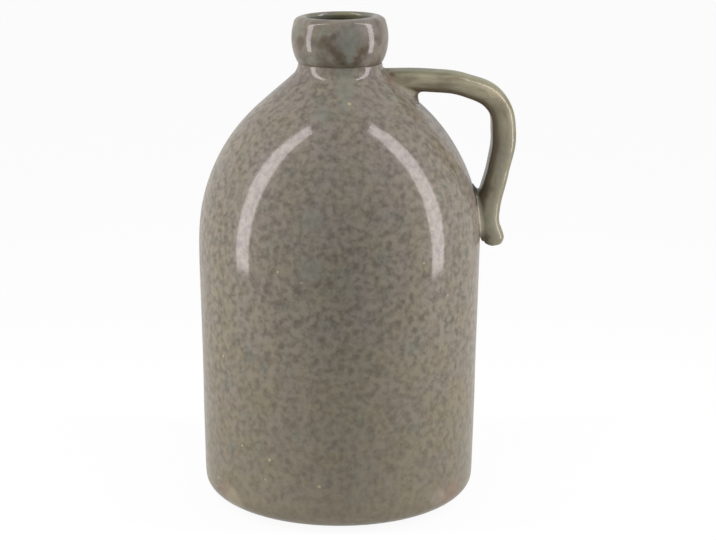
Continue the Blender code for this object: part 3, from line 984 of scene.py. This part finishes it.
def make_handle_glaze(sizes, handle, colours):
    """Plain streaked glaze, mottled like the body at the upper end, thin and pooled round both ends."""
    material, tree, shader, place = new_material("handle_glaze")
    facing = tree.nodes["Texture Coordinate"].outputs["Normal"]
    fine = use_mottle(tree, place, BODY_FLECK)
    mottled, flecks = paint_mottle(tree, place, colours, fine, BODY_FLECK_STRENGTH)
    broad = use_mottle(tree, place, HANDLE_BLOTCH)
    strap = use_group(tree, "strap_ways", place, {"Normal": facing, "Bend": STRAP_BEND})
    outer = fade(tree, strap["Outward"], *OUTER_EDGE)
    colour = paint_strap(tree, place, colours, strap, broad, flecks, outer)
    dome, slope = dome_shape(sizes)
    inputs = {"Body Radius": sizes.body_radius, "Dome Radius": dome, "Dome Foot": dome_foot(sizes),
              "Cone Slope": slope}
    above = use_group(tree, "body_distance", place, inputs)
    height = separate(tree, place)["Z"]
    upper = fade(tree, height, *UPPER_END)
    ragged = add(tree, above["Cone"], stray(tree, broad["Clouds"], ROOT_RAGGED))
    from_edge = subtract(tree, ragged, handle.glaze_reach)
    # Pale ridge along the glaze's edge at the upper end: thin glaze with a painted highlight
    ridge = weak_fade(tree, calculate(tree, "ABSOLUTE", from_edge), ROOT_RIDGE, upper)
    colour = tint(tree, weak_fade(tree, from_edge, ROOT_EDGE, upper), colour, mottled)
    colour = tint(tree, multiply(tree, ridge, ROOT_RIDGE_STRENGTH), colour, colours.bare)
    # Pale rim round the lower end: thin glaze with a painted highlight
    rim = weak_fade(tree, above["Dome"], TAIL_RIM, fade(tree, height, *LOWER_END))
    colour = tint(tree, multiply(tree, rim, TAIL_RIM_STRENGTH), colour, colours.bare)
    colour = paint_marks(tree, colour, place, colours, "stain", HANDLE_STAINS)
    ripple = use_group(tree, "ripple", place, {})["Height"]
    surface = add(tree, ripple, multiply(tree, strap["Streaks"], STREAK_RELIEF))
    corner = weak_fade(tree, above["Cone"], ROOT_CORNER, upper)
    dull = calculate(tree, "MAXIMUM", corner, multiply(tree, outer, OUTER_DULL))
    finish_glaze(tree, shader, colour, dull, surface, HANDLE_LIFT)
    return material


def make_bare_clay(colours):
    """Buff clay with fine grog and the rings left by turning."""
    material, tree, shader, place = new_material("bare_clay")
    grog = noise(tree, place, GROG_FINENESS, 3.0)
    stain = noise(tree, place, CLAY_STAIN_FINENESS, 2.0)
    inputs = {"Vector": place, **CLAY_RINGS}
    rings = add_node(tree, "ShaderNodeTexWave", inputs, wave_type="RINGS", rings_direction="Z").outputs["Fac"]
    colour = tint(tree, fade(tree, stain, *CLAY_STAINS), colours.clay, colours.blush)
    colour = tint(tree, weak_fade(tree, grog, *CLAY_SPECKS), colour, colours.iron)
    roughness = add(tree, multiply(tree, grog, GROG_ROUGHNESS), CLAY_ROUGHNESS)
    finish_surface(tree, shader, colour, roughness, add(tree, grog, rings), CLAY_LIFT)
    return material


class JUG_OT_make_body(bpy.types.Operator):
    """Throw the hollow body: heel, wall, dome, cone and neck"""

    bl_idname = "jug.make_body"
    bl_label = "Make Body"

    def execute(self, context):
        sizes = context.scene.jug_sizes
        colours = context.scene.jug_colours
        body = turn_solid(context, "jug_body", body_outline(sizes))
        smooth_cage(body)
        self.make_uneven(body, sizes)
        materials = [make_body_glaze(colours), make_inner_glaze(colours)]
        finish_piece(body, materials, ["wall", "shoulder"])
        self.line_inside(body, sizes)
        return {"FINISHED"}

    def make_uneven(self, body, sizes):
        """Give the outside the slight swells of a hand-thrown wall."""
        set_mode("EDIT")
        half_wall = sizes.wall / 2
        top = sizes.neck_top - sizes.neck_fillet
        low = 2 * sizes.heel_height
        limits = [(radius - half_wall, height) for radius, height in shoulder_outline(sizes, 0.0)]

        def on_outside(place):
            radius = math.hypot(place.x, place.y)
            if place.z < dome_foot(sizes):
                return place.z > low and radius > wall_radius(sizes, place.z) - half_wall
            if place.z > top:
                return False
            return radius > next(limit for limit, height in limits if height >= place.z)

        select_vertices(body, on_outside)
        bpy.ops.object.vertex_group_add()
        body.vertex_groups.active.name = "thrown_wall"
        bpy.ops.object.vertex_group_assign()
        set_mode("OBJECT")
        swells = bpy.data.textures.new("thrown_swells", "CLOUDS")
        swells.noise_scale = sizes.unevenness_span
        apply_modifier(
            body, "DISPLACE", texture=swells, texture_coords="LOCAL", strength=sizes.unevenness,
            mid_level=0.5, vertex_group="thrown_wall",
        )

    def line_inside(self, body, sizes):
        """Give the faces that look inwards the liner glaze."""
        for face in body.data.polygons:
            outwards = face.normal.x * face.center.x + face.normal.y * face.center.y
            on_floor = face.normal.z > LEVEL_FACE and face.center.z < sizes.neck_top / 2
            if (outwards < 0.0 and face.center.z > sizes.floor) or on_floor:
                face.material_index = 1


class JUG_OT_make_foot(bpy.types.Operator):
    """Cut the bare clay foot on which the jug stands"""

    bl_idname = "jug.make_foot"
    bl_label = "Make Foot"

    def execute(self, context):
        sizes = context.scene.jug_sizes
        edge = FOOT_EDGE * sizes.glaze_line
        flat = sizes.foot_radius - edge
        outline = round_arc((flat, edge), edge, -QUARTER, 0.0, EDGE_STEPS)
        outline[0] = (flat, 0.0)
        outline.append((flat, FOOT_DEPTH * edge))
        foot = turn_solid(context, "bare_foot", outline)
        smooth_cage(foot)
        finish_piece(foot, [make_bare_clay(context.scene.jug_colours)], ["base"])
        return {"FINISHED"}


class JUG_OT_make_collar(bpy.types.Operator):
    """Roll the collar round the mouth"""

    bl_idname = "jug.make_collar"
    bl_label = "Make Collar"

    def execute(self, context):
        sizes = context.scene.jug_sizes
        outline = collar_outline(sizes)
        collar = add_ring(context, "rolled_collar", *outline[0], "NOTHING")
        raise_outline(outline)
        ends = (outline[0], outline[-1])

        def on_open_rings(place):
            here = Vector((math.hypot(place.x, place.y), place.z))
            return any((here - Vector(end)).length < MERGE_DISTANCE for end in ends)

        select_vertices(collar, on_open_rings)
        bpy.ops.mesh.bridge_edge_loops()
        close_mesh()
        seam = (0.0, 0.0, sizes.neck_top)
        bpy.ops.transform.rotate(value=sizes.collar_lean, orient_axis="Y", center_override=seam)
        set_mode("OBJECT")
        smooth_cage(collar)
        glaze = make_collar_glaze(sizes, context.scene.jug_colours)
        finish_piece(collar, [glaze], ["collar"])
        return {"FINISHED"}


def handle_stations(sizes, handle):
    """Centre line of the strap as (x, z, scale), from inside the neck to the tip of the tail."""
    level = sizes.neck_top - handle.drop
    low = dome_foot(sizes)
    rise = level - low
    side = sizes.body_radius
    flick = handle.tail_flick - handle.tail_bulge
    stations = [(sizes.neck_radius - sizes.wall, level, LEVEL_SCALE)]
    stations.append((sizes.neck_radius + handle.level_run, level, LEVEL_SCALE))
    stations += [(side + out * handle.reach, low + up * rise, scale) for out, up, scale in BEND_STATIONS]
    stations += [(side + handle.press, low + up * rise, 1.0) for up in PRESS_RISES]
    for share, scale in TAIL_STATIONS:
        stations.append((side + handle.tail_bulge + share * flick, low - share * handle.tail_drop, scale))
    return stations


def height_above(outline, place):
    """Signed height of a point above a turned outline, and the way out of it there."""
    radius = math.hypot(place.x, place.y)
    here = Vector((radius, place.z))
    nearest = math.inf
    for low, high in zip(outline, outline[1:]):
        share = intersect_point_line(here, low, high)[1]
        foot = Vector(low).lerp(high, min(max(share, 0.0), 1.0))
        if (here - foot).length < nearest:
            nearest = (here - foot).length
            out = Vector((high[1] - low[1], low[0] - high[0])).normalized()
            height = math.copysign(nearest, (here - foot).dot(out))
    return height, Vector((place.x / radius * out.x, place.y / radius * out.x, out.y))


class JUG_OT_make_handle(bpy.types.Operator):
    """Pull the strap handle and lute it to the neck and the wall"""

    bl_idname = "jug.make_handle"
    bl_label = "Make Handle"

    def execute(self, context):
        sizes = context.scene.jug_sizes
        handle = context.scene.jug_handle
        core = turn_solid(context, "wall_core", side_outline(sizes, handle.root_depth))
        section = self.make_section(context, handle)
        strap = self.sweep(context, section, handle_stations(sizes, handle))
        bpy.data.objects.remove(section, do_unlink=True)
        self.close_ends()
        smooth_cage(strap)
        self.lute(strap, sizes, handle)
        apply_modifier(strap, "BOOLEAN", operation="DIFFERENCE", object=core, solver="EXACT")
        bpy.data.objects.remove(core, do_unlink=True)
        self.clean_cut()
        glaze = make_handle_glaze(sizes, handle, context.scene.jug_colours)
        finish_piece(strap, [glaze], ["handle", "upper_luting", "lower_luting"])
        return {"FINISHED"}

    def make_section(self, context, handle):
        """Rounded outline of the strap as a curve."""
        start_piece(context)
        bpy.ops.mesh.primitive_plane_add(size=1.0)
        section = context.object
        section.scale = (handle.width, handle.thickness, 1.0)
        bpy.ops.object.transform_apply(location=True, rotation=True, scale=True)
        set_mode("EDIT")
        bpy.ops.mesh.bevel(offset=handle.corner, segments=CORNER_STEPS, affect="VERTICES")
        bpy.ops.mesh.delete(type="ONLY_FACE")
        set_mode("OBJECT")
        bpy.ops.object.convert(target="CURVE")
        return context.object

    def sweep(self, context, section, stations):
        """Sweep the section along the stations and make the result a mesh."""
        start_piece(context)
        bpy.ops.curve.primitive_bezier_curve_add()
        strap = context.object
        strap.name = "strap_handle"
        curve = strap.data
        curve.resolution_u = PATH_STEPS
        curve.bevel_mode = "OBJECT"
        curve.bevel_object = section
        curve.use_fill_caps = True
        spline = curve.splines[0]
        spline.bezier_points.add(len(stations) - 2)
        for point, (x, z, scale) in zip(spline.bezier_points, stations):
            point.handle_left_type = "AUTO"
            point.handle_right_type = "AUTO"
            point.co = (x, 0.0, z)
            point.radius = scale
        bpy.ops.object.convert(target="MESH")
        set_mode("EDIT")
        close_mesh()
        set_mode("OBJECT")
        return context.object

    def close_ends(self):
        """Make each end of the strap one face."""
        set_mode("EDIT")
        select_none("FACE")
        bpy.ops.mesh.select_face_by_sides(number=3)
        bpy.ops.mesh.dissolve_faces()
        set_mode("OBJECT")

    def lute(self, strap, sizes, handle):
        """Draw both ends of the strap out over the body in hollow fillets, as clay smoothed on by hand."""
        outline = side_outline(sizes, 0.0)
        middle = dome_foot(sizes) + sizes.shoulder_height / 2
        vertices = [(vertex, vertex.co.copy(), vertex.normal.copy()) for vertex in strap.data.vertices]
        for vertex, place, facing in vertices:
            height, out = height_above(outline, place)
            if height < -UNFILLED_DEPTH * handle.root_depth:
                continue
            along = facing - facing.dot(out) * out
            flat = min(along.length / FLAT_FACE, 1.0)
            along.normalize()
            sideways = abs(along.y)
            lean = max(facing.dot(out), (LOOP_LEAN - SIDE_LEAN) * sideways - LOOP_LEAN)
            down = max(-facing.z, 0.0)
            radius = handle.fillet
            if place.z > middle:
                radius += (handle.loop_fillet - handle.fillet) * down
            share = max(1.0 - max(height, 0.0) / (radius * (1.0 - lean)), 0.0) ** 2
            spread = radius * math.sqrt((1.0 - lean) / (1.0 + lean)) * share
            tuck = 0.0
            if place.z < middle:
                spread *= min(1.0 + along.z, 1.0)
            if place.z < dome_foot(sizes):
                tuck = handle.tail_tuck * down * max(1.0 - max(height, 0.0) / handle.tail_bulge, 0.0)
            moved = place + along * spread * flat + Vector((0.0, 0.0, tuck))
            moved_height, moved_out = height_above(outline, moved)
            vertex.co = moved - (moved_height - height) * moved_out
        strap.data.update()

    def clean_cut(self):
        """Remove the empty and folded faces that the cut leaves inside the wall."""
        set_mode("EDIT")
        bpy.ops.mesh.select_all(action="SELECT")
        bpy.ops.mesh.dissolve_degenerate(threshold=MERGE_DISTANCE)
        close_mesh()
        select_none("FACE")
        bpy.ops.mesh.select_face_by_sides(number=4, type="GREATER")
        bpy.ops.mesh.quads_convert_to_tris()
        select_none("EDGE")
        bpy.ops.mesh.select_non_manifold(
            use_wire=False, use_boundary=False, use_non_contiguous=False, use_verts=False
        )
        bpy.ops.mesh.merge(type="COLLAPSE")
        close_mesh()
        set_mode("OBJECT")


class JUG_OT_make_stage(bpy.types.Operator):
    """Set the floor, the lamps and the camera"""

    bl_idname = "jug.make_stage"
    bl_label = "Make Stage"

    def execute(self, context):
        studio = context.scene.jug_studio
        context.scene.view_settings.view_transform = "Standard"
        self.make_floor(context, studio)
        self.make_world(context, studio)
        self.make_strip(context, studio, "left_strip", studio.left_foot, studio.left_top)
        self.make_strip(context, studio, "right_strip", studio.right_foot, studio.right_top)
        self.make_camera(context, studio)
        return {"FINISHED"}

    def seen_share(self, tree):
        """1 for rays from the camera and for mirrored and refracted ones, 0 for soft bounces of light."""
        path = tree.nodes.new("ShaderNodeLightPath").outputs
        seen = add(tree, path["Is Camera Ray"], path["Is Glossy Ray"])
        return calculate(tree, "ADD", seen, path["Is Transmission Ray"], clamp=True)

    def make_floor(self, context, studio):
        """A wide pale floor that looks white and keeps the jug's shadow."""
        start_piece(context)
        bpy.ops.mesh.primitive_plane_add(size=2 * studio.floor_reach)
        floor = context.object
        floor.name = "pale_floor"
        material = bpy.data.materials.new("pale_floor")
        material.use_nodes = True
        tree = material.node_tree
        shader = tree.nodes["Principled BSDF"]
        shader.inputs["Base Color"].default_value = FLOOR_COLOUR
        shader.inputs["Roughness"].default_value = 1.0
        shader.inputs["Specular IOR Level"].default_value = 0.0
        glow = add_node(tree, "ShaderNodeEmission", {"Color": WHITE, "Strength": 1.0})
        share = multiply(tree, self.seen_share(tree), FLOOR_WHITE)
        mixed = add_node(tree, "ShaderNodeMixShader", {0: share, 1: shader.outputs[0], 2: glow.outputs[0]})
        tree.links.new(mixed.outputs[0], tree.nodes["Material Output"].inputs["Surface"])
        floor.data.materials.append(material)

    def make_world(self, context, studio):
        """Even light from all round, white where it is seen."""
        world = bpy.data.worlds.new("studio")
        world.use_nodes = True
        context.scene.world = world
        tree = world.node_tree
        sky = tree.nodes["Background"]
        sky.inputs["Color"].default_value = WHITE
        inputs = {"Value": self.seen_share(tree), "To Min": studio.ambient, "To Max": 1.0}
        level = add_node(tree, "ShaderNodeMapRange", inputs)
        tree.links.new(level.outputs["Result"], sky.inputs["Strength"])

    def make_strip(self, context, studio, name, foot, top):
        """A tall strip lamp that leans over the jug and faces it."""
        start_piece(context)
        middle = (Vector(foot) + Vector(top)) / 2
        bpy.ops.object.light_add(type="AREA", location=middle)
        strip = context.object
        strip.name = name
        span = Vector(top) - Vector(foot)
        along = span.normalized()
        across = along.cross(Vector((middle.x, middle.y, 0.0))).normalized()
        strip.rotation_euler = Matrix((across, along, across.cross(along))).transposed().to_euler()
        strip.data.shape = "RECTANGLE"
        strip.data.size = studio.strip_width
        strip.data.size_y = span.length
        strip.data.energy = studio.strip_power
        strip.data.color = studio.strip_colour

    def make_camera(self, context, studio):
        """The camera, aimed a little to the right of the jug's axis."""
        start_piece(context)
        bpy.ops.object.camera_add(location=(0.0, -studio.camera_distance, studio.camera_height))
        camera = context.object
        camera.name = "camera"
        turn = Matrix.Rotation(-studio.camera_turn, 3, "Z")
        tilt = Matrix.Rotation(QUARTER - studio.camera_tilt, 3, "X")
        roll = Matrix.Rotation(studio.camera_roll, 3, "Z")
        camera.rotation_euler = (turn @ tilt @ roll).to_euler()
        camera.data.lens = studio.camera_lens
        context.scene.camera = camera


class JUG_PT_pieces(bpy.types.Panel):
    """Sidebar panel with the jug's pieces"""

    bl_idname = "JUG_PT_pieces"
    bl_label = "Glazed Jug"
    bl_space_type = "VIEW_3D"
    bl_region_type = "UI"
    bl_category = "Jug"

    def draw(self, context):
        for operator in OPERATORS:
            self.layout.operator(operator.bl_idname)


PROPERTY_GROUPS = {
    "jug_sizes": JugSizes,
    "jug_handle": HandleSizes,
    "jug_colours": GlazeColours,
    "jug_studio": StudioSettings,
}
OPERATORS = (JUG_OT_make_body, JUG_OT_make_foot, JUG_OT_make_collar, JUG_OT_make_handle, JUG_OT_make_stage)


def register():
    """Register the classes and hang the property groups on the scene."""
    for name, group in PROPERTY_GROUPS.items():
        bpy.utils.register_class(group)
        setattr(bpy.types.Scene, name, bpy.props.PointerProperty(type=group))
    for operator in OPERATORS:
        bpy.utils.register_class(operator)
    bpy.utils.register_class(JUG_PT_pieces)


def unregister():
    """Undo what register does."""
    bpy.utils.unregister_class(JUG_PT_pieces)
    for operator in reversed(OPERATORS):
        bpy.utils.unregister_class(operator)
    for name, group in reversed(PROPERTY_GROUPS.items()):
        delattr(bpy.types.Scene, name)
        bpy.utils.unregister_class(group)


def main():
    """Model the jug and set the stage."""
    register()
    bpy.ops.jug.make_body()
    bpy.ops.jug.make_foot()
    bpy.ops.jug.make_collar()
    bpy.ops.jug.make_handle()
    bpy.ops.jug.make_stage()


if __name__ == "__main__":
    main()
